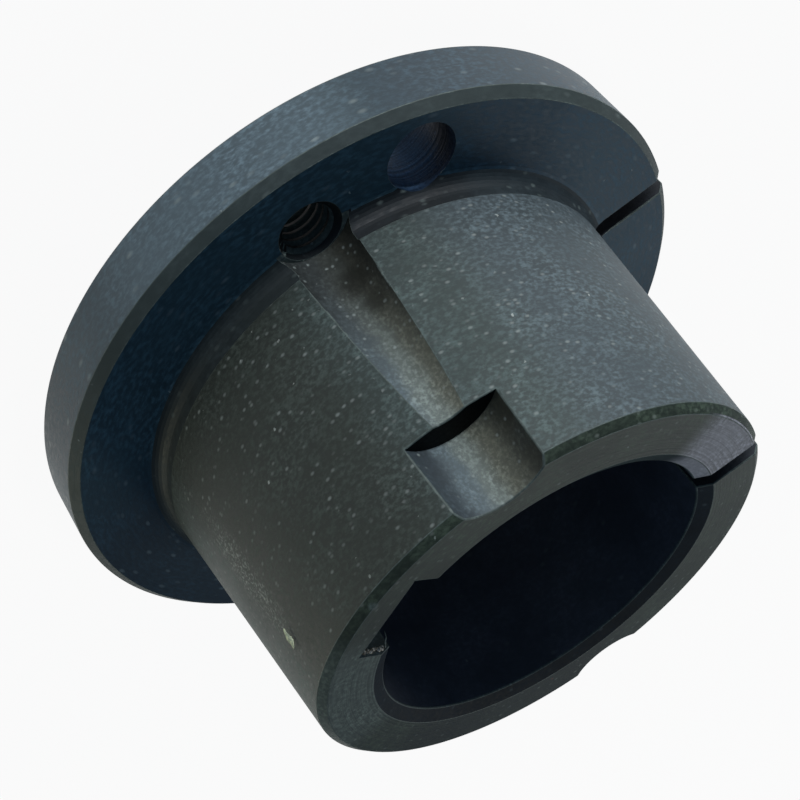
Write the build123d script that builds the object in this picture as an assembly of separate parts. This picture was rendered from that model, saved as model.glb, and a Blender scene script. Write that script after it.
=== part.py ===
from build123d import *
from math import cos, radians, sin, tan
import os

# Flanged taper bush, millimetres. The bush stands on the back of its flange:
# +Z runs up the bore to the small end, and the keyway lies along -Y.

# Flange
flange_diameter = 71.5
flange_thickness = 7.5
rim_front_chamfer = 0.9
rim_back_chamfer = 0.4

# Tapered barrel
overall_length = 37.3
taper_large_diameter = 53.1      # the taper carried on to the flange face
taper_half_angle = 4.0           # degrees
end_chamfer = 0.78
end_chamfer_length = 0.72

# Root of the barrel: a shallow relief, then a fillet into the flange face
relief_diameter = 52.5
relief_length = 2.3              # from the flange face
root_fillet = 1.5

# Bore
bore_diameter = 35.0
bore_chamfer_width = 1.45        # measured across the end face
bore_chamfer_depth = 0.75        # measured along the bore

# Keyway
keyway_width = 10.0
keyway_floor = 20.9              # from the bush axis to the floor
keyway_angle = -90.0             # degrees round the axis, from +X

# Split: one saw cut from the bore out through barrel and flange
split_width = 2.1
split_angle = 144.0

# Clamping screws pass through two plain holes in the flange
clamp_hole_diameter = 7.0
clamp_circle_diameter = 60.5
clamp_holes = 2
clamp_from_split = 62.5          # degrees from the split to the first hole

# Jacking screws work in two tapped holes, one on each side of the split
jack_drill_diameter = 5.0        # tapping size for the 6 mm thread
jack_countersink_diameter = 6.4
jack_circle_diameter = 55.8
jack_from_split = 85.5           # degrees from the split, both ways

# Beside each tapped hole the barrel has a groove for the screw's shank,
# and at the small end a pocket for its head
groove_radius = 4.1
groove_axis = 28.75              # from the bush axis
pocket_radius = 4.95
pocket_axis = 26.65              # from the bush axis
pocket_length = 7.8              # from the small end to the shoulder

cut_clearance = 1.0              # how far each cutter runs past the surface it opens


def taper_radius(z):
    """Radius of the taper at a height above the back of the flange."""
    return taper_large_diameter / 2 - (z - flange_thickness) * tan(radians(taper_half_angle))


def around(angle, distance, z=0):
    """A place at an angle round the bush axis and a distance from it."""
    return Location((distance * cos(radians(angle)), distance * sin(radians(angle)), z))


def turned_body():
    """The bush as it comes off the lathe: flange, root, taper and chamfered bore."""
    rim = flange_diameter / 2
    bore = bore_diameter / 2
    relief = relief_diameter / 2
    mouth = bore + bore_chamfer_width
    chamfer_start = overall_length - end_chamfer_length
    end_radius = taper_radius(chamfer_start) - end_chamfer
    relief_top = flange_thickness + relief_length
    # the relief runs out to the taper at 45 degrees
    run_out = (taper_radius(relief_top) - relief) / (1 + tan(radians(taper_half_angle)))
    root = (relief, flange_thickness)
    outline = Polyline(
        (mouth, 0),
        (rim - rim_back_chamfer, 0),
        (rim, rim_back_chamfer),
        (rim, flange_thickness - rim_front_chamfer),
        (rim - rim_front_chamfer, flange_thickness),
        root,
        (relief, relief_top),
        (relief + run_out, relief_top + run_out),
        (taper_radius(chamfer_start), chamfer_start),
        (end_radius, overall_length),
        (mouth, overall_length),
        (bore, overall_length - bore_chamfer_depth),
        (bore, bore_chamfer_depth),
        close=True,
    )
    section = make_face(outline)
    corner = section.vertices().sort_by_distance((*root, 0))[0]
    section = fillet(corner, root_fillet)
    return revolve(Plane.XZ * section, Axis.Z)


def cylinder_cut(angle, distance, radius, bottom, top):
    """A round cutter whose axis stands parallel to the bush axis."""
    place = around(angle, distance, bottom)
    return place * Cylinder(radius, top - bottom, align=(Align.CENTER, Align.CENTER, Align.MIN))


def keyway_cut():
    """The key's slot, from inside the bore to its flat floor, open at both ends."""
    height = overall_length + 2 * cut_clearance
    slot = Box(keyway_floor, keyway_width, height, align=(Align.MIN, Align.CENTER, Align.MIN))
    return Rot(0, 0, keyway_angle) * Pos(0, 0, -cut_clearance) * slot


def split_cut():
    """The saw cut that lets the bush close on its shaft."""
    reach = flange_diameter / 2 + cut_clearance
    height = overall_length + 2 * cut_clearance
    slot = Box(reach, split_width, height, align=(Align.MIN, Align.CENTER, Align.MIN))
    return Rot(0, 0, split_angle) * Pos(0, 0, -cut_clearance) * slot


def clamp_hole_cuts():
    """Plain holes, drilled from the barrel side, so they nick the root fillet."""
    top = flange_thickness + root_fillet + cut_clearance
    cuts = []
    for index in range(clamp_holes):
        angle = split_angle + clamp_from_split + index * 360 / clamp_holes
        cut = cylinder_cut(
            angle, clamp_circle_diameter / 2, clamp_hole_diameter / 2, -cut_clearance, top
        )
        cuts.append(cut)
    return cuts


def jack_hole_cut(angle):
    """A tapping-size hole through the flange, countersunk at 45 degrees at both faces."""
    drill = jack_drill_diameter / 2
    mouth = jack_countersink_diameter / 2
    depth = mouth - drill
    outline = Polyline(
        (0, -cut_clearance),
        (mouth, -cut_clearance),
        (mouth, 0),
        (drill, depth),
        (drill, flange_thickness - depth),
        (mouth, flange_thickness),
        (mouth, flange_thickness + cut_clearance),
        (0, flange_thickness + cut_clearance),
        close=True,
    )
    drill_form = revolve(Plane.XZ * make_face(outline), Axis.Z)
    return around(angle, jack_circle_diameter / 2) * drill_form


def jack_screw_cuts():
    """Tapped hole, shank groove and head pocket, once on each side of the split."""
    shoulder = overall_length - pocket_length
    cuts = []
    for side in (1, -1):
        angle = split_angle + side * jack_from_split
        groove_top = shoulder + cut_clearance
        pocket_top = overall_length + cut_clearance
        cuts.append(jack_hole_cut(angle))
        cuts.append(cylinder_cut(angle, groove_axis, groove_radius, flange_thickness, groove_top))
        cuts.append(cylinder_cut(angle, pocket_axis, pocket_radius, shoulder, pocket_top))
    return cuts


cutters = [keyway_cut(), split_cut()] + clamp_hole_cuts() + jack_screw_cuts()
taper_bush = (turned_body() - cutters).solid()
taper_bush.label = "taper_bush"

os.makedirs("parts", exist_ok=True)
export_step(taper_bush, "parts/taper_bush.step")
print("taper_bush", len(taper_bush.solids()), "solid", round(taper_bush.volume, 1), "mm3")
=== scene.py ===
import math
from functools import partial

import bmesh
import bpy
import numpy as np
from mathutils import Matrix, Quaternion, Vector


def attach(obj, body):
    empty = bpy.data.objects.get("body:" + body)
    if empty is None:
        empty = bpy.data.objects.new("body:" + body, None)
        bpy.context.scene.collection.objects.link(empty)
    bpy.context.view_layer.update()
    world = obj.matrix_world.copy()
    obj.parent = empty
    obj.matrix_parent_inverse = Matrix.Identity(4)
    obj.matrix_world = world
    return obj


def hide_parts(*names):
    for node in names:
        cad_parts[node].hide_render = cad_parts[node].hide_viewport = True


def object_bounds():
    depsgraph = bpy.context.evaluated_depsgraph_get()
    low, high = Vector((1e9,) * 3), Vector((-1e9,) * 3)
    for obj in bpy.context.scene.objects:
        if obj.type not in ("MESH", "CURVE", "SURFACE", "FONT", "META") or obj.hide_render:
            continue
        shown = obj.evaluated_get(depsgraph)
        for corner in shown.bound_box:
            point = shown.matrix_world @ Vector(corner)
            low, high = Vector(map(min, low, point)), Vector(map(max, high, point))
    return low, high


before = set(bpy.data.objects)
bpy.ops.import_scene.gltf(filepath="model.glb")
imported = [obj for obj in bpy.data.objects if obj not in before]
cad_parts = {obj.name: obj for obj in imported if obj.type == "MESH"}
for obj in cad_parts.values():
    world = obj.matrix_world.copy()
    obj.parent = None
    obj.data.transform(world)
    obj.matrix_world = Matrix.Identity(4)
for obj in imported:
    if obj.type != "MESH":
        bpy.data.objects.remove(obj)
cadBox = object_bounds()
cadNode = "taper_bush"
mm = 0.001
print("frame loaded")

scene = bpy.context.scene

# small helpers


def toLinear(hexColour):
    # sRGB hex to the linear values that shaders take
    parts = [int(hexColour[i:i + 2], 16) / 255 for i in (1, 3, 5)]
    return [c / 12.92 if c <= 0.04045 else ((c + 0.055) / 1.055) ** 2.4 for c in parts] + [1.0]


def polar(degrees, reach=1.0):
    # level coordinates, by the angle round from +X and the reach
    angle = math.radians(degrees)
    return reach * math.cos(angle), reach * math.sin(angle)


def addNode(tree, kind, inputs=(), **settings):
    # one node, whose kind goes without its family and may carry its operation; its inputs, in order or
    # by name, are linked to the sockets that are given and set to the values
    kind, _, operation = kind.partition(" ")
    families = ("ShaderNode", "GeometryNode", "FunctionNode", "")
    node = tree.nodes.new(next(family + kind for family in families if hasattr(bpy.types, family + kind)))
    if operation:
        node.operation = operation
    for name, value in settings.items():
        setattr(node, name, value)
    for key, value in inputs.items() if isinstance(inputs, dict) else enumerate(inputs):
        if isinstance(value, bpy.types.NodeSocket):
            tree.links.new(value, node.inputs[key])
        else:
            node.inputs[key].default_value = value
    return node.outputs


def newGroup(name, output, **inputs):
    # a geometry group with its named inputs by kind: the group, what adds nodes to it, and its inputs
    tree = bpy.data.node_groups.new(name, "GeometryNodeTree")
    for kind, names in {**inputs, "Material": ["Finish"]}.items():
        for label in names:
            tree.interface.new_socket(label, in_out="INPUT", socket_type="NodeSocket" + kind)
    tree.interface.new_socket(output, in_out="OUTPUT", socket_type="NodeSocketGeometry")
    add = partial(addNode, tree)
    return tree, add, add("NodeGroupInput")


def endGroup(tree, ins, made):
    # every group ends in real faces that carry its finish
    real = addNode(tree, "RealizeInstances", {"Geometry": made})[0]
    done = addNode(tree, "SetMaterial", {"Geometry": real, "Material": ins["Finish"]})[0]
    addNode(tree, "NodeGroupOutput", [done])
    return tree


def newMaterial(name):
    # a material: itself, what adds nodes to it, what links them, and its shader's inputs
    material = bpy.data.materials.new(name)
    material.use_nodes = True
    tree = material.node_tree
    return material, partial(addNode, tree), tree.links.new, tree.nodes["Principled BSDF"].inputs


def linkObject(name, data):
    obj = bpy.data.objects.new(name, data)
    scene.collection.objects.link(obj)
    return obj


def meshFrom(form, name):
    mesh = bpy.data.meshes.new(name)
    form.to_mesh(mesh)
    form.free()
    return mesh


def bakeMesh(obj, name):
    # the evaluated object as a plain mesh, and the modifiers gone
    depsgraph = bpy.context.evaluated_depsgraph_get()
    mesh = bpy.data.meshes.new_from_object(obj.evaluated_get(depsgraph))
    mesh.name = name
    obj.modifiers.clear()
    old = obj.data
    obj.data = mesh
    bpy.data.meshes.remove(old)
    return obj


def solidFrom(tree, name, inputs, mesh=None):
    # an object made by one group, from a mesh or from nothing; a socket is set by its identifier
    obj = linkObject(name, mesh or bpy.data.meshes.new(name))
    modifier = obj.modifiers.new(tree.name, "NODES")
    modifier.node_group = tree
    sockets = {item.name: item.identifier for item in tree.interface.items_tree if item.in_out == "INPUT"}
    for key, value in inputs.items():
        modifier[sockets[key]] = value
    return bakeMesh(obj, name)


# the bush's sizes, in millimetres and degrees

bush = dict(
    flangeRadius=cadBox[1].x / mm,
    flangeThickness=7.5,
    rimFrontChamfer=0.9,
    rimBackChamfer=0.4,
    length=cadBox[1].z / mm,
    taperRadius=26.55,  # at the flange face
    taperAngle=4.0,
    endChamfer=0.78,
    endChamferLength=0.72,
    reliefRadius=26.25,
    reliefLength=2.3,
    rootFillet=1.5,
    rootSteps=7,
    boreRadius=17.5,
    boreChamferWidth=1.45,
    boreChamferDepth=0.75,
    turningSteps=360,
    ringSpacing=0.9,
    edgeBreak=0.14,  # the small round a tumbled edge carries
)
keyway = dict(width=10.0, floor=20.9, angle=-90.0)
split = dict(width=2.1, angle=144.0)
clampHoles = dict(radius=3.5, distance=30.25, fromSplit=62.5, count=2)
jackScrews = dict(
    fromSplit=85.5,
    drillRadius=2.5,
    mouthRadius=3.2,
    distance=27.9,
    grooveRadius=4.1,
    grooveAxis=28.75,
    pocketRadius=4.95,
    pocketAxis=26.65,
    pocketLength=7.8,
    majorRadius=3.0,
    pitch=1.0,
    flankAngle=30.0,
    crestShare=0.125,  # the thread's flat, as a share of the pitch
    bite=0.1,  # how far the thread's ridge starts inside the drilled wall
    drillSteps=64,
    threadSteps=48,  # to a turn
)
cutterSides = dict(clamp=96, groove=96, pocket=110)
cutterRings = dict(clamp=12, groove=24, pocket=10)
overrun = 1.0  # how far a cutter passes the surface it opens

jackAngles = [split["angle"] + side * jackScrews["fromSplit"] for side in (1, -1)]
clampAngles = [split["angle"] + clampHoles["fromSplit"] + 360 / clampHoles["count"] * i
               for i in range(clampHoles["count"])]
shoulder = bush["length"] - jackScrews["pocketLength"]
reliefTop = bush["flangeThickness"] + bush["reliefLength"]
chamferStart = bush["length"] - bush["endChamferLength"]


def bushSection():
    # half section of the turned bush, radius and height, anticlockwise
    b = bush
    top, r = b["flangeThickness"], b["rootFillet"]
    slope = math.tan(math.radians(b["taperAngle"]))

    def taperAt(z):
        return b["taperRadius"] - (z - top) * slope

    mouth = b["boreRadius"] + b["boreChamferWidth"]
    runOut = (taperAt(reliefTop) - b["reliefRadius"]) / (1 + slope)
    points = [
        (mouth, 0),
        (b["flangeRadius"] - b["rimBackChamfer"], 0),
        (b["flangeRadius"], b["rimBackChamfer"]),
        (b["flangeRadius"], top - b["rimFrontChamfer"]),
        (b["flangeRadius"] - b["rimFrontChamfer"], top),
    ]
    for i in range(b["rootSteps"] + 1):     # the root's hollow round
        x, z = polar(270 - 90 * i / b["rootSteps"], r)
        points.append((b["reliefRadius"] + r + x, top + r + z))
    points.append((b["reliefRadius"], reliefTop))
    rings = round((chamferStart - reliefTop) / b["ringSpacing"])
    for i in range(rings + 1):              # rings keep the facets short beside the cuts
        z = reliefTop + runOut + (chamferStart - reliefTop - runOut) * i / rings
        points.append((taperAt(z), z))
    return points + [
        (taperAt(chamferStart) - b["endChamfer"], b["length"]),
        (mouth, b["length"]),
        (b["boreRadius"], b["length"] - b["boreChamferDepth"]),
        (b["boreRadius"], b["boreChamferDepth"]),
    ]


def lineMesh(name, points):
    mesh = bpy.data.meshes.new(name)
    mesh.from_pydata([(x * mm, 0, z * mm) for x, z in points], [], [])
    return mesh


def latheGroup():
    # turns the section's points, in their order, into a closed ring of faces
    tree, add, ins = newGroup("lathe", "Body", Geometry=["Section"], Int=["Steps", "Closed"])
    count = add("AttributeDomainSize", {"Geometry": ins["Section"]})["Point Count"]
    around = add("Math ADD", [ins["Steps"], 1])[0]
    across = add("Math ADD", [count, ins["Closed"]])[0]
    grid = add("MeshGrid", {"Vertices X": across, "Vertices Y": around})["Mesh"]
    index = add("InputIndex")[0]
    ratio = add("Math DIVIDE", [index, around])[0]
    column = add("Math FLOOR", [ratio])[0]
    station = add("Math MODULO", [column, count])[0]
    row = add("Math MODULO", [index, around])[0]
    place = add("InputPosition")[0]
    sample = add("SampleIndex", {"Geometry": ins["Section"], "Value": place, "Index": station},
                 data_type="FLOAT_VECTOR")[0]
    turn = add("Math DIVIDE", [row, ins["Steps"]])[0]
    angle = add("Math MULTIPLY", [turn, math.tau])[0]
    spun = add("VectorRotate", {"Vector": sample, "Angle": angle}, rotation_type="Z_AXIS")[0]
    moved = add("SetPosition", {"Geometry": grid, "Position": spun})[0]
    welded = add("MergeByDistance", {"Geometry": moved, "Distance": 0.001 * mm})[0]
    outward = add("FlipFaces", {"Mesh": welded})[0]
    return endGroup(tree, ins, outward)


def placeAt(add, distance, height, angle):
    # a place so far from the axis, so high and so far round
    out = add("CombineXYZ", {"X": distance, "Z": height})[0]
    return add("VectorRotate", {"Vector": out, "Angle": angle}, rotation_type="Z_AXIS")[0]


def boreCutterGroup():
    # round cutters that repeat about the bush's axis
    tree, add, ins = newGroup(
        "boreCutters", "Cutters", Float=["Radius", "Distance", "Bottom", "Top", "First Angle", "Spacing"],
        Int=["Count", "Sides", "Rings"])
    height = add("Math SUBTRACT", [ins["Top"], ins["Bottom"]])[0]
    total = add("Math ADD", [ins["Top"], ins["Bottom"]])[0]
    middle = add("Math MULTIPLY", [total, 0.5])[0]
    rod = add("MeshCylinder", {"Vertices": ins["Sides"], "Side Segments": ins["Rings"],
                                           "Radius": ins["Radius"], "Depth": height})["Mesh"]
    points = add("Points", {"Count": ins["Count"]})[0]
    index = add("InputIndex")[0]
    step = add("Math MULTIPLY", [index, ins["Spacing"]])[0]
    angle = add("Math ADD", [step, ins["First Angle"]])[0]
    spun = placeAt(add, ins["Distance"], middle, angle)
    placed = add("SetPosition", {"Geometry": points, "Position": spun})[0]
    many = add("InstanceOnPoints", {"Points": placed, "Instance": rod})[0]
    return endGroup(tree, ins, many)


def threadGroup():
    # a three-sided ridge along a helix: what the tap takes out past the drilled wall
    tree, add, ins = newGroup("tapRidge", "Ridge", Float=[
        "Inner Radius", "Major Radius", "Pitch", "Bottom", "Turns", "Distance", "Angle"])
    widening = 2 * math.tan(math.radians(jackScrews["flankAngle"]))
    height = add("Math MULTIPLY", [ins["Turns"], ins["Pitch"]])[0]
    helix = add("CurveSpiral", {
        "Resolution": jackScrews["threadSteps"], "Rotations": ins["Turns"], "Height": height,
        "Start Radius": ins["Inner Radius"], "End Radius": ins["Inner Radius"]})[0]
    depth = add("Math SUBTRACT", [ins["Major Radius"], ins["Inner Radius"]])[0]
    flank = add("Math MULTIPLY", [depth, widening])[0]
    crest = add("Math MULTIPLY", [ins["Pitch"], jackScrews["crestShare"]])[0]
    base = add("Math ADD", [flank, crest])[0]
    shape = add("CurvePrimitiveQuadrilateral", {
        "Height": depth, "Bottom Width": base, "Top Width": crest, "Offset": 0.0}, mode="TRAPEZOID")[0]
    lift = add("Math MULTIPLY", [depth, 0.5])[0]
    rise = add("CombineXYZ", {"Y": lift})[0]
    raised = add("Transform", {"Geometry": shape, "Translation": rise})[0]
    turned = add("Transform", {"Geometry": raised, "Rotation": (0, 0, math.radians(90))})[0]
    upright = add("SetCurveNormal", {"Curve": helix}, mode="Z_UP")[0]
    ridge = add("CurveToMesh", {"Curve": upright, "Profile Curve": turned, "Fill Caps": True})[0]
    spun = placeAt(add, ins["Distance"], ins["Bottom"], ins["Angle"])
    placed = add("Transform", {"Geometry": ridge, "Translation": spun})[0]
    return endGroup(tree, ins, placed)


def slotCutter(name, reach, width, angle):
    # a straight slot from the axis outwards, right through the bush
    form = bmesh.new()
    bmesh.ops.create_cube(form, size=1)
    height = bush["length"] + 2 * overrun
    form.transform(Matrix.Rotation(math.radians(angle), 4, "Z")
                   @ Matrix.Translation((reach * mm / 2, 0, bush["length"] * mm / 2))
                   @ Matrix.Diagonal((reach * mm, width * mm, height * mm, 1)))
    return linkObject(name, meshFrom(form, name))


def roundCutters(name, radius, distance, bottom, top, angles):
    # equal round cutters, evenly spaced from the first angle to the last
    spacing = (angles[-1] - angles[0]) / max(len(angles) - 1, 1)
    return solidFrom(boreCutters, name + "Cutters", {
        "Radius": radius * mm, "Distance": distance * mm, "Bottom": bottom * mm, "Top": top * mm,
        "First Angle": math.radians(angles[0]), "Spacing": math.radians(spacing), "Count": len(angles),
        "Sides": cutterSides[name], "Rings": cutterRings[name]})


def drillCutter(angle):
    # tapping drill with a countersink at each face
    j = jackScrews
    drill, mouth, top = j["drillRadius"], j["mouthRadius"], bush["flangeThickness"]
    sink = mouth - drill
    section = [(0, -overrun), (mouth, -overrun), (mouth, 0), (drill, sink),
               (drill, top - sink), (mouth, top), (mouth, top + overrun), (0, top + overrun)]
    cutter = solidFrom(lathe, "drillCutter", {"Steps": j["drillSteps"], "Closed": 0},
                       lineMesh("drill", section))
    cutter.data.transform(Matrix.Translation((*polar(angle, j["distance"] * mm), 0)))
    return cutter


def tapCutter(angle):
    # from a pitch below the flange to a pitch above it
    j = jackScrews
    return solidFrom(tapRidge, "tap", {
        "Inner Radius": (j["drillRadius"] - j["bite"]) * mm, "Major Radius": j["majorRadius"] * mm,
        "Pitch": j["pitch"] * mm, "Turns": bush["flangeThickness"] / j["pitch"] + 2,
        "Bottom": -j["pitch"] * mm, "Distance": j["distance"] * mm, "Angle": math.radians(angle)})


def cutAway(body, cutters):
    for cutter in cutters:
        modifier = body.modifiers.new(cutter.name, "BOOLEAN")
        modifier.object = cutter
        modifier.operation = "DIFFERENCE"
        modifier.solver = "EXACT"
    bakeMesh(body, body.name)
    for cutter in cutters:
        old = cutter.data
        bpy.data.objects.remove(cutter)
        bpy.data.meshes.remove(old)


lathe = latheGroup()
boreCutters = boreCutterGroup()
tapRidge = threadGroup()

body = solidFrom(lathe, "bushBody", {"Steps": bush["turningSteps"], "Closed": 1},
                 lineMesh("section", bushSection()))
cutAway(body, [
    slotCutter("keywayCutter", keyway["floor"], keyway["width"], keyway["angle"]),
    slotCutter("splitCutter", bush["flangeRadius"] + overrun, split["width"], split["angle"]),
    roundCutters("clamp", clampHoles["radius"], clampHoles["distance"], -overrun,
                 bush["flangeThickness"] + bush["rootFillet"] + overrun, clampAngles),
    roundCutters("groove", jackScrews["grooveRadius"], jackScrews["grooveAxis"], bush["flangeThickness"],
                 shoulder + overrun, jackAngles),
    roundCutters("pocket", jackScrews["pocketRadius"], jackScrews["pocketAxis"], shoulder,
                 bush["length"] + overrun, jackAngles),
    *[drillCutter(angle) for angle in jackAngles],
])
cutAway(body, [tapCutter(angle) for angle in jackAngles])
print("body cut", len(body.data.polygons), "faces")


def breakEdges(obj):
    # sharp edges get a small round; slivers beside the cuts are closed up first
    weld, sliver = 0.004 * mm, 0.03 * mm
    shortest = bush["edgeBreak"] * 1.3 * mm
    sharp, slant, flat = (math.radians(a) for a in (24, 40, 0.1))
    nearlyStraight = -0.95  # cosine between a point's two sharp edges
    flangeTop, reliefLine = bush["flangeThickness"] * mm, reliefTop * mm
    smallRound, roundGrowth = 0.3, 4 * mm
    form = bmesh.new()
    form.from_mesh(obj.data)
    bmesh.ops.remove_doubles(form, verts=form.verts, dist=weld)

    def isSharp(edge):
        return edge.is_manifold and edge.calc_face_angle() > sharp

    def away(edge, vert):
        return (edge.other_vert(vert).co - vert.co).normalized()

    def hold(vert):
        # how much a point has to stay where it is
        marked = [e for e in vert.link_edges if isSharp(e)]
        if len(marked) != 2:
            return len(marked) * 2
        return 3 if away(marked[0], vert).dot(away(marked[1], vert)) > nearlyStraight else 1

    for _ in range(4):
        short = [e for e in form.edges if e.calc_length() < shortest]
        moves, used = {}, set()
        for edge in sorted(short, key=lambda e: e.calc_length()):
            if used & set(edge.verts):
                continue
            used |= set(edge.verts)
            low, high = sorted(edge.verts, key=hold)
            if hold(low) < 3 or edge.calc_length() < sliver:
                moves[low] = high
        if not moves:
            break
        bmesh.ops.weld_verts(form, targetmap=moves)
    bmesh.ops.dissolve_degenerate(form, edges=form.edges, dist=weld)
    # a facet line that meets a sharp edge at a slant is taken out, so the round runs clean
    for _ in range(3):
        slanting = set()
        for vert in form.verts:
            marked = [e for e in vert.link_edges if isSharp(e)]
            for edge in vert.link_edges:
                if marked and edge.is_manifold and edge.calc_face_angle() < flat:
                    way = away(edge, vert)
                    if any(way.dot(away(e, vert)) > math.cos(slant) for e in marked):
                        slanting.add(edge)
        if not slanting:
            break
        bmesh.ops.dissolve_edges(form, edges=list(slanting), use_verts=True)

    def nearest(point, angles, distance):
        # how far a point lies from the closest of the holes at these angles
        return min((point.xy - Vector(polar(a, distance * mm))).length for a in angles)

    def isPocketCorner(vert):
        inward = any(isSharp(e) and e.calc_face_angle_signed() < 0 for e in vert.link_edges)
        return inward and abs(vert.co.z - shoulder * mm) < 0.05 * mm

    weight = form.edges.layers.float.new("bevel_weight_edge")
    threadReach = (jackScrews["majorRadius"] + 0.1) * mm
    for edge in form.edges:
        if not isSharp(edge) or edge.calc_face_angle_signed() <= 0:     # only outward corners are broken
            continue
        middle = (edge.verts[0].co + edge.verts[1].co) / 2
        level = abs(edge.verts[0].co.z - edge.verts[1].co.z) < 0.01 * mm
        atRunOut = level and abs(middle.z - reliefLine) < 0.3 * mm
        tapReach = nearest(middle, jackAngles, jackScrews["distance"])
        atTap = middle.z < flangeTop * 1.01 and tapReach < threadReach + 0.25 * mm
        atClamp = nearest(middle, clampAngles, clampHoles["distance"]) < (clampHoles["radius"] + 0.02) * mm
        if atTap and tapReach < threadReach or atClamp and middle.z > flangeTop * 1.001:
            continue
        # the round swells from the root upwards, and stays small at holes
        onFlange = middle.xy.length >= bush["taperRadius"] * 1.06 * mm
        rise = 1 if onFlange else min(max((middle.z - reliefLine) / roundGrowth, 0), 1)
        small = atRunOut or atTap or atClamp or any(isPocketCorner(v) for v in edge.verts)
        edge[weight] = smallRound if small else smallRound + (1 - smallRound) * rise
    form.to_mesh(obj.data)
    form.free()
    modifier = obj.modifiers.new("edgeBreak", "BEVEL")
    modifier.limit_method = "WEIGHT"
    modifier.width = bush["edgeBreak"] * mm
    modifier.segments = 3
    modifier.use_clamp_overlap = False
    modifier.miter_outer = "MITER_ARC"
    modifier.loop_slide = False
    bakeMesh(obj, obj.name)


breakEdges(body)
print("edges broken", len(body.data.polygons), "faces")

# the bush's true surfaces: how far points lie off each, its normal at them, and the finish it carries


def turnedSurface(start, end, finish):
    # what a line of the section sweeps: a face, a cylinder or a cone
    (r0, z0), (r1, z1) = start, end
    reach = math.hypot(r1 - r0, z1 - z0)
    along = ((r1 - r0) / reach, (z1 - z0) / reach)
    out = (along[1], -along[0])

    def offset(p):
        r = np.hypot(p[:, 0], p[:, 1])
        gap = np.abs((r - r0) * out[0] + (p[:, 2] - z0) * out[1])
        past = np.abs((r - r0) * along[0] + (p[:, 2] - z0) * along[1] - reach / 2) - reach / 2
        return np.maximum(gap, past)

    def normal(p):
        r = np.maximum(np.hypot(p[:, 0], p[:, 1]), 1e-9)
        return np.stack([p[:, 0] / r * out[0], p[:, 1] / r * out[0], np.full(len(p), out[1])], 1)

    return {"offset": offset, "normal": normal, "finish": finish}


def rootSurface(finish):
    # the hollow round between the flange's face and the relief
    r = bush["rootFillet"]
    middle, height = bush["reliefRadius"] + r, bush["flangeThickness"] + r

    def offset(p):
        across, up = middle - np.hypot(p[:, 0], p[:, 1]), height - p[:, 2]
        return np.maximum(np.abs(np.hypot(across, up) - r), np.maximum(-across, -up))

    def normal(p):
        far = np.maximum(np.hypot(p[:, 0], p[:, 1]), 1e-9)
        across, up = (middle - far) / r, (height - p[:, 2]) / r
        return np.stack([p[:, 0] / far * across, p[:, 1] / far * across, up], 1)

    return {"offset": offset, "normal": normal, "finish": finish}


def holeSurface(angle, distance, radius, finish, lean=0.0, mouth=0.0):
    # the wall of a round hole along the bush; a lean of 1 or -1 makes it a mouth that opens up or down
    cx, cy = polar(angle, distance)
    stretch = math.hypot(1, lean)

    def offset(p):
        gap = np.hypot(p[:, 0] - cx, p[:, 1] - cy) - radius + lean * (mouth - p[:, 2])
        return np.abs(gap) / stretch

    def normal(p):
        x, y = cx - p[:, 0], cy - p[:, 1]
        far = np.maximum(np.hypot(x, y), 1e-9) * stretch
        return np.stack([x / far, y / far, np.full(len(p), lean / stretch)], 1)

    return {"offset": offset, "normal": normal, "finish": finish}


def flatSurface(point, facing, finish):
    point, facing = np.array(point), np.array(facing)

    def offset(p):
        return np.abs((p - point) @ facing)

    def normal(p):
        return np.tile(facing, (len(p), 1))

    return {"offset": offset, "normal": normal, "finish": finish}


def slotSurfaces(angle, width, finish, floor=None):
    # the two walls of a straight slot, and its floor where it has one
    x, y = polar(angle)
    out, side = np.array([x, y, 0]), np.array([-y, x, 0])
    walls = [flatSurface(side * width / 2 * sign, -side * sign, finish) for sign in (1, -1)]
    return walls + ([flatSurface(out * floor, -out, finish)] if floor else [])


def bushSurfaces():
    section = bushSection()
    top, slack = bush["flangeThickness"], 0.01
    found = []
    for start, end in zip(section, section[1:] + section[:1]):
        low, high = sorted((start[1], end[1]))
        inner, outer = sorted((start[0], end[0]))
        places = [                    # the first that fits names the finish
            (outer < bush["boreRadius"] + slack, "bore"),
            (inner < bush["boreRadius"] + slack, "mouth"),
            (inner > bush["flangeRadius"] - slack, "rim"),
            (outer > bush["flangeRadius"] - slack, "rimChamfer"),
            (low >= reliefTop and high <= chamferStart + slack, "taper"),
            (outer < bush["reliefRadius"] + bush["rootFillet"] and top < high < reliefTop + 1, "root"),
            (low > bush["length"] / 2, "endFace"),
            (True, "flangeFace"),
        ]
        found.append(turnedSurface(start, end, next(finish for fits, finish in places if fits)))
    found.append(rootSurface("root"))
    found += slotSurfaces(keyway["angle"], keyway["width"], "milled", keyway["floor"])
    found += slotSurfaces(split["angle"], split["width"], "sawn")
    for angle in clampAngles:
        found.append(holeSurface(angle, clampHoles["distance"], clampHoles["radius"], "clampHole"))
    found.append(flatSurface((0, 0, shoulder), (0, 0, 1), "shoulder"))
    j = jackScrews
    for angle in jackAngles:
        found.append(holeSurface(angle, j["grooveAxis"], j["grooveRadius"], "jackGroove"))
        found.append(holeSurface(angle, j["pocketAxis"], j["pocketRadius"], "jackGroove"))
        found.append(holeSurface(angle, j["distance"], j["drillRadius"], "tapped"))
        found.append(holeSurface(angle, j["distance"], j["mouthRadius"], "tapped", 1, top))
        found.append(holeSurface(angle, j["distance"], j["mouthRadius"], "tapped", -1, 0))
    return found


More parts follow.
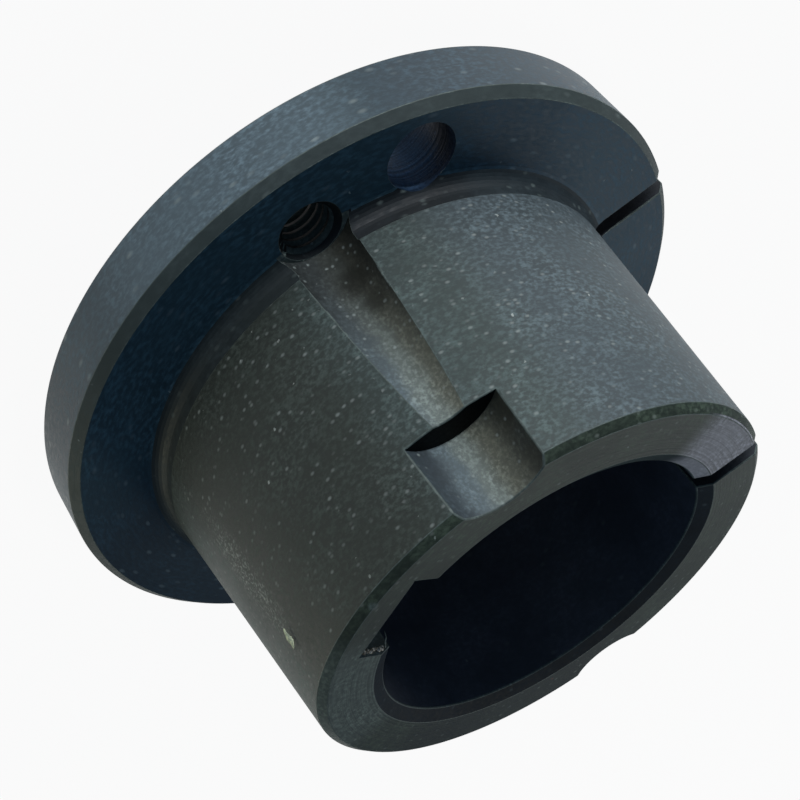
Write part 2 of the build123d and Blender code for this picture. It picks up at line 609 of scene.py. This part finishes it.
def readMesh(mesh):
    # a mesh as arrays: its points in mm, each loop's point, each face's first loop, number of corners,
    # normal, middle and area
    def read(items, name, width=1, kind=float):
        values = np.empty(len(items) * width, kind)
        items.foreach_get(name, values)
        return values.reshape(-1, width) if width > 1 else values
    faces = mesh.polygons
    return (read(mesh.vertices, "co", 3) / mm, read(mesh.loops, "vertex_index", kind=int),
            read(faces, "loop_start", kind=int), read(faces, "loop_total", kind=int),
            read(faces, "normal", 3), read(faces, "center", 3) / mm, read(faces, "area"))


def trueNormals(obj, surfaces, finishOrder, edgeFinish):
    # each face that lies on a surface of the bush is shaded by that surface and gets its finish;
    # the edge breaks between them run from one surface's normal to the next
    near = 0.012  # mm that a point may lie off its surface
    faceMatch, sliverMatch, edgeMatch = 0.9, 0.985, 0.5  # least cosine between the two normals
    fold = math.cos(math.radians(38))
    mesh = obj.data
    points, loopPoint, firstLoop, corners, facing, centre, area = readMesh(mesh)
    on = np.array([s["offset"](points) < near for s in surfaces])
    faceOn = np.logical_and.reduceat(on[:, loopPoint], firstLoop, axis=1)
    # a sliver that lies all but on a surface counts as part of it
    close = np.array([s["offset"](centre) < 4 * near for s in surfaces])
    agree = np.array([(s["normal"](centre) * facing).sum(1) for s in surfaces])
    match, along = np.where(faceOn, agree, -1), np.where(close, agree, -1)
    kind = np.where(match.max(0) > faceMatch, match.argmax(0), -1)
    kind = np.where((kind < 0) & (along.max(0) > sliverMatch), along.argmax(0), kind)
    loopFace = np.repeat(np.arange(len(kind)), corners)
    loopKind = kind[loopFace]
    normals = facing[loopFace]
    touches = np.zeros(on.shape, bool)
    touches[loopKind[loopKind >= 0], loopPoint[loopKind >= 0]] = True
    loose = np.flatnonzero(loopKind < 0)
    best = np.full(len(loose), edgeMatch)
    for i, surface in enumerate(surfaces):
        mine = loopKind == i
        if mine.any():
            normals[mine] = surface["normal"](points[loopPoint[mine]])
        beside = touches[i, loopPoint[loose]]
        if beside.any():
            theirs = surface["normal"](points[loopPoint[loose]])
            score = np.where(beside, (theirs * facing[loopFace[loose]]).sum(1), -1)
            better = score > best
            normals[loose[better]] = theirs[better]
            best[better] = score[better]
    around = {}
    for loop in loose:
        around.setdefault(loopPoint[loop], []).append(loopFace[loop])
    for loop in loose[best <= edgeMatch]:
        own = facing[loopFace[loop]]
        parts = [facing[f] * area[f] for f in around[loopPoint[loop]]
                 if facing[f] @ own > fold]
        total = np.sum(parts, 0) if parts else own
        normals[loop] = total / max(np.linalg.norm(total), 1e-12)
    slots = np.array([finishOrder.index(s["finish"]) for s in surfaces] + [finishOrder.index(edgeFinish)])
    mesh.polygons.foreach_set("material_index", slots[kind].astype(np.int32))
    mesh.polygons.foreach_set("use_smooth", np.ones(len(kind), bool))
    mesh.normals_split_custom_set(normals.tolist())
    mesh.update()
    print("faces on a true surface", int((kind >= 0).sum()), "of", len(kind))


# finishes: cast iron, turned and milled, then blackened in a phosphate and oxide bath; lengths in mm.
# the real grain, flecks, dust and tool rings are too fine to show, so they are drawn coarser than they are

coat = dict(  # what a finish has where it doesn't say otherwise
    roughness=0.55, gloss=0.3, tint="#ffffff", patch=6.0,
    grain=0.36, contrast=0.3, depth=0.004, dash=1.0,
    fleckSpacing=0.8, fleckShare=0.2, dustSpacing=1.6, dustShare=0.2,
    rings=0.0, ringDepth=0.0, ringTone=0.0, ringsByHeight=False,
    # painted light and shade: darker and paler sectors round the axis, where less or more light fell: which
    # way from the axis, how far each side in degrees, colour and share
    paintedLightSectors=[],
    # spots of colour, some of them rust and some painted light and shade: where, how wide and their colour
    spotsAndPaintedLight=[],
    # fine dust caught in a streak along the axis: where its middle is and its reach to either side
    dusty=[],
)
finishes = dict(
    rim=dict(  # the turned rim: smooth, grey-blue
        colour="#47555b", shade="#3c4a50", fleck="#929a96", dust="#aeb5b0",
        roughness=0.50, gloss=0.28, patch=9.0,
        grain=0.42, contrast=0.60, depth=0.012, dash=1.3,
        fleckSpacing=0.9, fleckShare=0.28, dustSpacing=2.0, dustShare=0.30,
        rings=0.25, ringDepth=0.0010,
        # painted shade and light: darker and paler sectors round the rim
        paintedLightSectors=[(192, 26, "#36424a", 0.6), (238, 26, "#5e6c72", 0.7), (284, 12, "#3b464b", 0.6)],
    ),
    flangeFace=dict(  # the turned faces of the flange: smoothest, and coloured navy as painted shade and reflection
        colour="#273e4c", shade="#1d323e", fleck="#6c7b82", dust="#9da7a6",
        roughness=0.52, gloss=0.4, tint="#a9c4dc", patch=9.0,
        grain=0.38, contrast=0.70, depth=0.010, dash=1.8,
        fleckShare=0.32, dustSpacing=1.7, dustShare=0.40,
        rings=0.24, ringDepth=0.0022,
        # painted shade and light: darker and paler sectors of the face
        paintedLightSectors=[(250, 60, "#3a535d", 0.75), (334, 32, "#121d27", 0.7), (146, 34, "#364a55", 0.6)],
    ),
    rimChamfer=dict(  # the rim's chamfers: duller and greener
        colour="#3c4543", shade="#333c3a", fleck="#6d7672", dust="#9aa3a0",
        roughness=0.60, gloss=0.4,
        grain=0.40, contrast=0.25, depth=0.005, dash=1.6,
        dustShare=0.4, rings=0.25, ringDepth=0.001,
    ),
    root=dict(  # the hollow round and the relief, finer than the taper beside them and coloured darker as painted shade of the flange
        colour="#2b3438", shade="#21292c", fleck="#66706c", dust="#8f9996",
        roughness=0.60, grain=0.40, contrast=0.35, depth=0.006, dash=1.8,
        fleckSpacing=0.7, fleckShare=0.25, dustShare=0.3,
        rings=0.25, ringDepth=0.0014,
        # painted shade: darker sectors of the root
        paintedLightSectors=[(216, 26, "#0e1316", 0.88), (262, 40, "#262b29", 0.5)],
    ),
    endFace=dict(  # the turned small end and its chamfer: the coat is greener and thinner
        colour="#3b4539", shade="#2d352c", fleck="#7f867d", dust="#9da49d",
        roughness=0.50, patch=5.0, contrast=0.75, depth=0.012, dash=1.6,
        fleckSpacing=0.6, fleckShare=0.34, dustSpacing=1.4, dustShare=0.3,
        rings=0.30, ringDepth=0.0110, ringTone=0.22,
        # beside the split a pale patch is painted as a highlight, from so many degrees off it
        paintedHighlight=dict(full=22.0, end=33.0, above=37.2, colour="#96949b", share=0.92),
        # painted shade and light: a dark sector and a paler one
        paintedLightSectors=[(28, 52, "#14191a", 0.7), (303, 30, "#626c66", 0.6)],
        spotsAndPaintedLight=[((15.0, 13.2, 37.3), 0.22, "#6e4436"), ((-15.2, -15.8, 37.2), 0.3, "#8a6a60"),
                  ((-2.1, -23.7, 37.2), 0.55, "#5f6a66")],
    ),
    mouth=dict(  # the bore's chamfers: coloured dark as painted shade, with a paler sector and a painted highlight
        colour="#20282f", shade="#181f25", fleck="#525d60", dust="#7b8582",
        roughness=0.60, gloss=0.1, patch=5.0, contrast=0.35, depth=0.006, dash=1.8,
        dustSpacing=1.7, dustShare=0.25, rings=0.26, ringDepth=0.002,
        paintedHighlight=dict(full=20.0, end=31.0, above=0.0, colour="#a3a2a8", share=0.9),
        # painted light: a paler sector
        paintedLightSectors=[(220, 60, "#3a4441", 0.9)],
    ),
    taper=dict(  # the fine-turned taper: matt, its feed marks broken up into short dashes
        colour="#485350", shade="#3b4542", fleck="#9ea39d", dust="#b7bab2",
        roughness=0.58, contrast=0.85, depth=0.020, dash=1.6,
        fleckSpacing=0.55, fleckShare=0.36, dustSpacing=1.25, dustShare=0.22,
        # painted shadow of the flange: darker towards the root
        rootwardShade=dict(start=18.0, end=9.0, colour="#2a322f", share=0.4),
        # painted light and shade: a paler sector and a darker one
        paintedLightSectors=[(176, 40, "#525b62", 0.5), (266, 34, "#2e312a", 0.7)],
        dusty=[((8.7, -23.8, 24.5), 2.9)],
    ),
    bore=dict(  # the bored wall: plain and bluish
        colour="#494d57", shade="#3a3f48", fleck="#5d6466", dust="#767c7a",
        gloss=0.5, patch=8.0, grain=0.40, dash=2.0,
        fleckSpacing=0.9, fleckShare=0.15, dustSpacing=1.9, rings=0.3, ringDepth=0.002,
    ),
    milled=dict(  # the keyway: a paler, thinner coat
        colour="#7b837d", shade="#67685f", fleck="#8f9590", dust="#a4a59d",
        gloss=0.5, patch=3.5, contrast=0.5, depth=0.010,
        fleckSpacing=0.6, fleckShare=0.3, dustShare=0.3,
    ),
    jackGroove=dict(  # the screw's groove and pocket: pale down the middle, brown towards the split, with painted shade on its walls and towards the flange
        colour="#646b67", shade="#54544b", fleck="#98a09b", dust="#a9aaa2",
        roughness=0.58, patch=3.0, contrast=0.6, depth=0.012,
        fleckSpacing=0.6, fleckShare=0.35, dustShare=0.15,
        # colour across the groove, in mm from its middle, rising towards the split: the far wall painted
        # dark as shade, the middle pale, and the side towards the split brown and darkened as painted shade
        across=[(-3.7, "#27333c"), (-2.0, "#58656a"), (-0.3, "#7a827b"), (1.6, "#666658"), (3.6, "#35352b")],
        # painted shade: darker towards the flange
        rootwardShade=dict(start=28.5, end=9.0, colour="#1b1c18", share=0.85),
        # two dark spots low in the groove, by the flange
        spotsAndPaintedLight=[((-16.6, -18.2, 12.4), 2.3, "#14160f"), ((-17.0, -17.9, 15.4), 1.7, "#1d1f18")],
    ),
    shoulder=dict(  # the pocket's shoulder, coloured near-black as painted shade in the recess
        colour="#070b0e", shade="#040608", fleck="#1d2325", dust="#3a4240",
        roughness=0.60, gloss=0.12, patch=3.5,
        fleckSpacing=0.7, dustSpacing=1.8, dustShare=0.1,
    ),
    sawn=dict(  # the split's walls: dark and even
        colour="#1f252c", shade="#171c22", fleck="#434c50", dust="#656e6c",
        gloss=0.35, patch=4.0, contrast=0.35, depth=0.006, dustSpacing=1.8,
    ),
    clampHole=dict(  # the drilled wall: bluish, with the drill's marks round it
        colour="#1f2f42", shade="#131d2a", fleck="#5d6f86", dust="#5f6c78",
        roughness=0.42, gloss=0.45, tint="#56779f", patch=2.5,
        grain=0.30, contrast=0.6, depth=0.008, dash=0.6,
        fleckSpacing=0.7, fleckShare=0.3, dustSpacing=1.8, dustShare=0.1,
        rings=0.34, ringDepth=0.016, ringTone=0.4, ringsByHeight=True,
        # a pale blue spot painted as light coming through the hole, and a black one as painted shade
        spotsAndPaintedLight=[((-28.8, -10.6, 4.6), 3.6, "#08080e"), ((-24.9, -12.9, 3.6), 4.2, "#6e93b8")],
    ),
    tapped=dict(  # the tapped hole and its mouth: near-black
        colour="#151b1d", shade="#0e1214", fleck="#3a4346", dust="#4d5655",
        roughness=0.50, gloss=0.25, patch=2.5, grain=0.30, dash=0.6,
        fleckShare=0.15, dustSpacing=1.8, dustShare=0.1,
    ),
    brokenEdge=dict(  # tumbled edges, rubbed a little paler
        colour="#59625d", shade="#48514d", fleck="#868e89", dust="#9aa3a2",
        patch=2.0, contrast=0.5, depth=0.008, fleckSpacing=0.6, fleckShare=0.3,
    ),
)
coatPattern = dict(
    clouds=(0.38, 0.62),  # the part of the noise over which shade turns to colour
    strokes=(0.38, 0.74),  # the part of the grain that is drawn as strokes
    betweenStrokes=-0.35,  # how dark it is between them
    contrastSwing=(0.5, 1.25),  # how far the clouds weaken and strengthen the strokes
    middle=(0.35, 0.65),  # the usual reach of a noise
    acrossWaver=3.0,  # mm by which the clouds shift the colours across a groove
    acrossShare=0.8,
    sectorCore=0.75,  # how far in from its edge a sector is in full
    spotCore=0.4,
    spotShare=0.8,
    fleckEdge=(0.36, 0.12),  # a crystal fades outwards over this part of its cell
    fleckBright=0.6,
    raggedScale=4.0,  # to the mm, as the next two are
    streakScale=3.4,
    raggedShift=0.45,
    dustSizes=(0.5, 1.9),  # smallest and largest speck, in mean ones
    dustSize=0.09,  # mean radius of a dust speck
    dustShown=0.9,
    streakSquash=(1, 1, 0.25),  # a streak is four times as long as wide
    streakGrains=(0.50, 0.68),
    streakShown=0.75,
    roughSwing=0.09,  # how far the grain moves the roughness either way
)


def oxideMaterial(name, f):
    # blackened iron: cloudy colour, fine crystals of the coat, dust that lies on it, tool marks under it
    c = coatPattern
    material, add, link, shader = newMaterial(name)
    shader["Specular IOR Level"].default_value = f["gloss"]
    shader["Specular Tint"].default_value = toLinear(f["tint"])
    place = add("TexCoord")["Object"]
    inMm = add("VectorMath SCALE", {0: place, "Scale": 1 / mm})[0]
    # round the axis, with the seam in the split: a length along the turning, the radius and the height
    seam = math.radians(180 - split["angle"])
    turned = add("VectorRotate", {"Vector": inMm, "Angle": seam}, rotation_type="Z_AXIS")[0]
    axes = add("SeparateXYZ", [turned])
    angle = add("Math ARCTAN2", [axes[1], axes[0]])[0]
    flat = add("CombineXYZ", {"X": axes[0], "Y": axes[1]})[0]
    radius = add("VectorMath LENGTH", [flat])["Value"]
    arc = add("Math MULTIPLY", [angle, bush["taperRadius"] / f["dash"]])[0]
    wrapped = add("CombineXYZ", {"X": arc, "Y": radius, "Z": axes[2]})[0]

    def mixIn(under, share, over):
        # lays one colour over another by a share
        return add("Mix", {"Factor": share, 6: under, 7: over}, data_type="RGBA")[2]

    def ramp(value, span, to=(0.0, 1.0), smooth=False):
        # turns one range of a value into another
        return add("MapRange", {"Value": value, "From Min": span[0], "From Max": span[1],
                                          "To Min": to[0], "To Max": to[1]},
                   interpolation_type="SMOOTHSTEP" if smooth else "LINEAR")[0]

    clouds = add("TexNoise", {"Vector": inMm, "Scale": 1 / f["patch"], "Detail": 4.0,
                                        "Roughness": 0.6})["Fac"]
    cloudy = ramp(clouds, c["clouds"])
    colour = mixIn(toLinear(f["shade"]), cloudy, toLinear(f["colour"]))
    if "across" in f:
        # the same run of colours, with its painted shade, for both grooves, whose middles lie as far round
        # from the split
        waver = c["acrossWaver"]
        fromSeam = add("Math ABSOLUTE", [angle])[0]
        middle = math.radians(180 - jackScrews["fromSplit"])
        past = add("Math SUBTRACT", [fromSeam, middle])[0]
        offset = add("Math MULTIPLY", [past, radius])[0]
        uneven = add("Math MULTIPLY_ADD", [clouds, waver, -waver / 2])[0]
        offset = add("Math ADD", [offset, uneven])[0]
        band = toLinear(f["across"][0][1])
        for (here, _), (there, hexColour) in zip(f["across"], f["across"][1:]):
            band = mixIn(band, ramp(offset, (here, there), smooth=True), toLinear(hexColour))
        colour = mixIn(colour, c["acrossShare"], band)
    # painted shadow of the flange: darker towards the root
    if "rootwardShade" in f:
        r = f["rootwardShade"]
        share = ramp(axes[2], (r["start"], r["end"]), (0.0, r["share"]), True)
        colour = mixIn(colour, share, toLinear(r["colour"]))
    # a painted highlight: a pale patch beside the split
    if "paintedHighlight" in f:
        r = f["paintedHighlight"]
        bounds = [math.radians(r[key] - 180) for key in ("end", "full")]
        paintedHighlight = ramp(angle, bounds, (0.0, r["share"]), True)
        onFace = ramp(axes[2], (r["above"] - 0.08, r["above"]), smooth=True)
        paintedHighlight = add("Math MULTIPLY", [paintedHighlight, onFace])[0]
        colour = mixIn(colour, paintedHighlight, toLinear(r["colour"]))
    level = add("VectorMath MULTIPLY", [inMm, (1, 1, 0)])[0]
    level = add("VectorMath NORMALIZE", [level])[0]
    # painted light and shade: each sector round the axis darkens or lightens the colour where less or more
    # light fell
    for azimuth, spread, hexColour, share in f["paintedLightSectors"]:
        way = (*polar(azimuth), 0)
        facing = add("VectorMath DOT_PRODUCT", [level, way])["Value"]
        edge = math.cos(math.radians(spread))
        inside = ramp(facing, (edge, edge + (1 - edge) * c["sectorCore"]), (0.0, share), True)
        colour = mixIn(colour, inside, toLinear(hexColour))
    # spots: rust, and painted light and shade in the clamp hole
    for where, reach, hexColour in f["spotsAndPaintedLight"]:
        gap = add("VectorMath DISTANCE", [inMm, where])["Value"]
        inside = ramp(gap, (reach, reach * c["spotCore"]), (0.0, c["spotShare"]))
        colour = mixIn(colour, inside, toLinear(hexColour))

    # the coat's grain: mostly plain, with brighter strokes
    grain = add("TexNoise", {"Vector": wrapped, "Scale": 1 / f["grain"], "Detail": 3.0,
                                       "Roughness": 0.6})["Fac"]
    stroke = ramp(grain, c["strokes"], (c["betweenStrokes"], 1.0), True)
    strength = ramp(clouds, c["middle"], [f["contrast"] * swing for swing in c["contrastSwing"]])
    bright = add("Math MULTIPLY_ADD", [stroke, strength, 1.0])[0]
    colour = add("VectorMath SCALE", {0: colour, "Scale": bright})[0]

    # rings left by the tool, which run down a wall and across a face
    if f["rings"]:
        feed = axes[2]
        if not f["ringsByHeight"]:
            feed = add("Math ADD", [radius, axes[2]])[0]
        marks = add("TexNoise", {"W": feed, "Scale": 1 / f["rings"], "Detail": 3.0, "Roughness": 0.6},
                    noise_dimensions="1D")["Fac"]
        tone = ramp(marks, c["middle"], (1 - f["ringTone"], 1 + f["ringTone"]))
        colour = add("VectorMath SCALE", {0: colour, "Scale": tone})[0]

    # bright crystals: one in a few cells, each as bright as chance has it
    crystals = add("TexVoronoi", {"Vector": wrapped, "Scale": 1 / f["fleckSpacing"]})
    chance = add("SeparateColor", [crystals["Color"]])[0]
    bright = ramp(chance, (1 - f["fleckShare"], 1.0), (0.0, c["fleckBright"]))
    spot = ramp(crystals["Distance"], c["fleckEdge"])
    fleck = add("Math MULTIPLY", [bright, spot])[0]
    colour = mixIn(colour, fleck, toLinear(f["fleck"]))

    # dust: ragged specks of mixed sizes, more of them in some places than in others
    ragged = add("TexNoise", {"Vector": inMm, "Scale": c["raggedScale"], "Detail": 2.0})["Color"]
    shift = add("VectorMath SCALE", {0: ragged, "Scale": c["raggedShift"]})[0]
    strewn = add("VectorMath ADD", [inMm, shift])[0]
    cells = add("TexVoronoi", {"Vector": strewn, "Scale": 1 / f["dustSpacing"]})
    luck = add("SeparateColor", [cells["Color"]])
    reach = ramp(luck[1], (0.0, 1.0), [c["dustSize"] * size / f["dustSpacing"] for size in c["dustSizes"]])
    gap = add("Math SUBTRACT", [reach, cells["Distance"]])[0]
    solid = ramp(gap, (0.0, 0.03))
    gathered = add("Math MULTIPLY_ADD", [cloudy, 0.3, luck[0]])[0]
    there = ramp(gathered, (1.15 - f["dustShare"], 1.25), (0.0, c["dustShown"]))
    speck = add("Math MULTIPLY", [solid, there])[0]
    colour = mixIn(colour, speck, toLinear(f["dust"]))
    for where, reach in f["dusty"]:
        squash = Vector(c["streakSquash"])
        drawn = add("VectorMath MULTIPLY", [inMm, squash])[0]
        gap = add("VectorMath DISTANCE", [drawn, Vector(where) * squash])["Value"]
        fine = add("TexNoise", {"Vector": inMm, "Scale": c["streakScale"], "Detail": 2.0})["Fac"]
        caught = add("Math MULTIPLY", [ramp(gap, (reach, reach * 0.1), smooth=True),
                                                 ramp(fine, c["streakGrains"], (0.0, c["streakShown"]))])[0]
        colour = mixIn(colour, caught, toLinear(f["dust"]))
    link(colour, shader["Base Color"])

    swing = (f["roughness"] - c["roughSwing"], f["roughness"] + c["roughSwing"])
    rough = ramp(grain, (0.3, 0.7), swing)
    rough = add("Math MAXIMUM", [rough, speck])[0]
    link(rough, shader["Roughness"])
    bump = add("Bump", {"Height": grain, "Distance": f["depth"] * mm * 2, "Strength": 1.0})[0]
    if f["rings"]:
        bump = add("Bump", {"Height": marks, "Normal": bump, "Distance": f["ringDepth"] * mm * 2,
                                      "Strength": 1.0})[0]
    link(bump, shader["Normal"])
    return material


finishOrder = list(finishes)
body.data.materials.clear()
for key in finishOrder:
    body.data.materials.append(oxideMaterial(key + "Oxide", {**coat, **finishes[key]}))
trueNormals(body, bushSurfaces(), finishOrder, "brokenEdge")
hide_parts(cadNode)
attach(body, "root")

# swarf left on the bush: a flat chip on the taper, crumbs and a hair of metal at the keyway's edge
swarf = dict(
    chip=dict(middle=(8.24, -23.74, 31.97), along=(0.37, 0.2, 0.91), out=(-0.08, -0.96, 0.26),
             length=2.1, width=0.5, thickness=0.06, stations=9, dark="#a3ab94", pale="#e6e9c2"),
    crumbs=dict(start=(4.8, -20.7, 36.85), end=(4.75, -18.0, 36.75), count=16, size=0.22,
               scatter=0.1, seed=4, least=(0.4, 0.5, 0.35), most=(1.2, 1.0, 0.8),
               dark="#6b604d", pale="#e6d9c8"),
    hair=dict(path=[(4.8, -17.6, 36.75), (4.55, -17.5, 36.35), (4.2, -17.45, 36.1), (3.9, -17.5, 35.6)],
             radius=0.07, thinning=0.2, sides=8, dark="#747a70", pale="#a3a99e"),
)


def sweptMesh(name, rings):
    # a closed skin over rings of points
    form = bmesh.new()
    loops = [[form.verts.new(point * mm) for point in ring] for ring in rings]
    sides = len(loops[0])
    for a, b in zip(loops, loops[1:]):
        for i in range(sides):
            form.faces.new((a[i], a[(i + 1) % sides], b[(i + 1) % sides], b[i]))
    form.faces.new(loops[0][::-1])
    form.faces.new(loops[-1])
    bmesh.ops.recalc_face_normals(form, faces=form.faces)
    return meshFrom(form, name)


def chipRings(c):
    # a thin sliver, pointed at both ends and bent away from the metal
    blunt, tilt, wave, lift = 0.015, 0.04, 0.09, 0.1
    out = Vector(c["out"]).normalized()
    along = (Vector(c["along"]) - Vector(c["along"]).dot(out) * out).normalized()
    side = out.cross(along)
    for i in range(c["stations"]):
        t = i / (c["stations"] - 1) * 2 - 1
        half = c["width"] / 2 * (1 - t * t) ** 0.7 * (1 + 0.35 * math.sin(5 * t + 1)) + blunt
        middle = Vector(c["middle"]) + along * t * c["length"] / 2
        middle = middle + side * wave * math.sin(3 * t) + out * lift * t * t
        corners = [(-half, 0), (half, tilt), (half, tilt + c["thickness"]), (-half, c["thickness"])]
        yield [middle + side * x + out * y for x, y in corners]


def hairRings(h):
    # a thin round strand along a path
    points = [Vector(p) for p in h["path"]]
    for i, point in enumerate(points):
        ahead = (points[min(i + 1, len(points) - 1)] - points[max(i - 1, 0)]).normalized()
        across = ahead.orthogonal().normalized()
        over = ahead.cross(across)
        thin = h["radius"] * (1 - h["thinning"] * i)
        turns = [polar(360 * k / h["sides"], thin) for k in range(h["sides"])]
        yield [point + across * x + over * y for x, y in turns]


def crumbGroup():
    # small ragged lumps strewn along a line
    tree, add, ins = newGroup("crumbs", "Crumbs", Vector=["Start", "End", "Least", "Most"],
                              Float=["Size", "Scatter"], Int=["Count", "Seed"])
    line = add("MeshLine", {"Count": ins["Count"], "Start Location": ins["Start"],
                                        "Offset": ins["End"]}, mode="END_POINTS")[0]

    def chance(least, most):
        return add("RandomValue", {0: least, 1: most, "Seed": ins["Seed"]},
                   data_type="FLOAT_VECTOR")[0]

    spread = chance((-1, -1, -1), (1, 1, 1))
    spread = add("VectorMath SCALE", {0: spread, "Scale": ins["Scatter"]})[0]
    strewn = add("SetPosition", {"Geometry": line, "Offset": spread})[0]
    lump = add("MeshIcoSphere", {"Radius": ins["Size"], "Subdivisions": 3})[0]
    many = add("InstanceOnPoints", {
        "Points": strewn, "Instance": lump, "Rotation": chance((0, 0, 0), (math.tau, math.tau, math.tau)),
        "Scale": chance(ins["Least"], ins["Most"])})[0]
    real = add("RealizeInstances", {"Geometry": many})[0]
    place = add("InputPosition")[0]
    ragged = add("TexNoise", {"Vector": place, "Scale": 4.5 / mm})["Color"]
    ragged = add("VectorMath SUBTRACT", [ragged, (0.5, 0.5, 0.5)])[0]
    ragged = add("VectorMath SCALE", {0: ragged, "Scale": ins["Size"]})[0]
    rough = add("SetPosition", {"Geometry": real, "Offset": ragged})[0]
    return endGroup(tree, ins, rough)


def swarfMaterial(name, piece, size):
    # torn bits of iron and dried coolant: from dark to pale over a fraction of a millimetre
    material, add, link, shader = newMaterial(name)
    shader["Roughness"].default_value = 0.65
    place = add("TexCoord")["Object"]
    noise = add("TexNoise", {"Vector": place, "Scale": 1 / (size * mm), "Detail": 3.0})["Fac"]
    share = add("MapRange", {"Value": noise, "From Min": 0.42, "From Max": 0.58})[0]
    tone = add("Mix", {"Factor": share, 6: toLinear(piece["dark"]), 7: toLinear(piece["pale"])},
               data_type="RGBA")[2]
    link(tone, shader["Base Color"])
    bump = add("Bump", {"Height": noise, "Distance": 0.03 * mm, "Strength": 1.0})[0]
    link(bump, shader["Normal"])
    return material


crumb = swarf["crumbs"]
chip = linkObject("chip", sweptMesh("chip", chipRings(swarf["chip"])))
chip.data.materials.append(swarfMaterial("paleChip", swarf["chip"], 0.5))
crumbs = solidFrom(crumbGroup(), "crumbs", {
    "Start": Vector(crumb["start"]) * mm, "End": Vector(crumb["end"]) * mm, "Size": crumb["size"] * mm,
    "Scatter": crumb["scatter"] * mm, "Count": crumb["count"], "Seed": crumb["seed"],
    "Least": crumb["least"], "Most": crumb["most"], "Finish": swarfMaterial("drySwarf", crumb, 0.3)})
hair = linkObject("hair", sweptMesh("hair", hairRings(swarf["hair"])))
hair.data.materials.append(swarfMaterial("metalHair", swarf["hair"], 0.4))
for piece in (chip, crumbs, hair):
    for polygon in piece.data.polygons:
        polygon.use_smooth = True
    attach(piece, "root")
print("finishes on")

# stage, lights and camera

view = dict(  # where the camera stands, and what it looks at
    azimuth=-124.92, elevation=35.37, distance=147.3,
    aim=(9.71, -8.46, 13.36), roll=146.3,
    lens=60.4, shift=(0.1075, 0.1168), clip=(0.005, 20),
)
stage = dict(
    radius=2.0, colour="#e6e6e6", shadow=0.06,  # how much of the shadow the floor keeps
    air="#7c96b2", airStrength=0.36,
)
# the window and the room lie low, so the chamfer and the flange's face catch little of them
lamps = dict(  # from where, how far off, how wide and tall, watts
    window=dict(at=(192, 0.5, 0.45), size=(0.42, 0.036), watts=1.85, colour="#e8eef4"),
    high=dict(at=(66, 52, 0.5), size=(0.2, 0.2), watts=0.56, colour="#f5f6ec"),
    side=dict(at=(82, 20, 0.45), size=(0.14, 0.1), watts=0.12, colour="#eef2f6"),
    room=dict(at=(-30, 0.5, 0.5), size=(0.3, 0.04), watts=0.50, colour="#f6f6d4"),
)


def outTo(azimuth, elevation, distance):
    up = math.radians(elevation)
    return Vector((*polar(azimuth, math.cos(up)), math.sin(up))) * distance


def aimAt(obj, place, target, roll=0.0):
    obj.location = place
    obj.rotation_mode = "QUATERNION"
    look = (target - place).to_track_quat("-Z", "Y")
    obj.rotation_quaternion = look @ Quaternion((0, 0, 1), math.radians(roll))


def makeCamera():
    data = bpy.data.cameras.new("camera")
    camera = linkObject("camera", data)
    place = outTo(view["azimuth"], view["elevation"], view["distance"] * mm)
    aimAt(camera, place, Vector(view["aim"]) * mm, view["roll"])
    data.lens = view["lens"]
    data.shift_x, data.shift_y = view["shift"]
    data.clip_start, data.clip_end = view["clip"]
    scene.camera = camera


def makeLamps():
    middle = Vector((0, 0, bush["length"] * mm / 2))
    for name, lamp in lamps.items():
        data = bpy.data.lights.new(name, "AREA")
        data.energy = lamp["watts"]
        data.shape = "RECTANGLE"
        data.size, data.size_y = lamp["size"]
        data.color = toLinear(lamp["colour"])[:3]
        aimAt(linkObject(name, data), middle + outTo(*lamp["at"]), middle)


def makeFloor():
    # pale floor: seen and reflected as white, with some of the shadow kept
    form = bmesh.new()
    under = (bush["boreRadius"] + bush["boreChamferWidth"] * 2) * mm
    bmesh.ops.create_circle(form, cap_ends=True, segments=96, radius=under)
    bmesh.ops.create_circle(form, segments=96, radius=stage["radius"])
    bmesh.ops.bridge_loops(form, edges=[e for e in form.edges if e.is_boundary or e.is_wire])
    for face in form.faces:
        face.material_index = int(len(face.verts) == 4)
    bmesh.ops.recalc_face_normals(form, faces=form.faces)
    mesh = meshFrom(form, "floor")
    floor = linkObject("floor", mesh)
    bare, _, _, shader = newMaterial("floorUnderBush")
    shader["Base Color"].default_value = toLinear(stage["colour"])
    shader["Roughness"].default_value = 0.9
    mesh.materials.append(bare)
    material, add, _, _ = newMaterial("paleFloor")
    material.node_tree.nodes.clear()
    path = add("LightPath")
    seen = add("Math MAXIMUM", [path["Is Camera Ray"], path["Is Glossy Ray"]])[0]
    seen = add("Math MAXIMUM", [seen, path["Is Transmission Ray"]])[0]
    share = add("Math MULTIPLY", [seen, 1 - stage["shadow"]])[0]
    paper = add("BsdfDiffuse", {"Color": toLinear(stage["colour"])})[0]
    white = add("Emission", {"Color": (1, 1, 1, 1), "Strength": 1.0})[0]
    both = add("MixShader", [share, paper, white])[0]
    add("OutputMaterial", {"Surface": both})
    mesh.materials.append(material)


def makeAir():
    world = bpy.data.worlds.new("air")
    world.use_nodes = True
    scene.world = world
    background = world.node_tree.nodes["Background"]
    background.inputs["Color"].default_value = toLinear(stage["air"])
    background.inputs["Strength"].default_value = stage["airStrength"]


makeCamera()
makeLamps()
makeFloor()
makeAir()
scene.view_settings.view_transform = "Standard"

print("stage set")
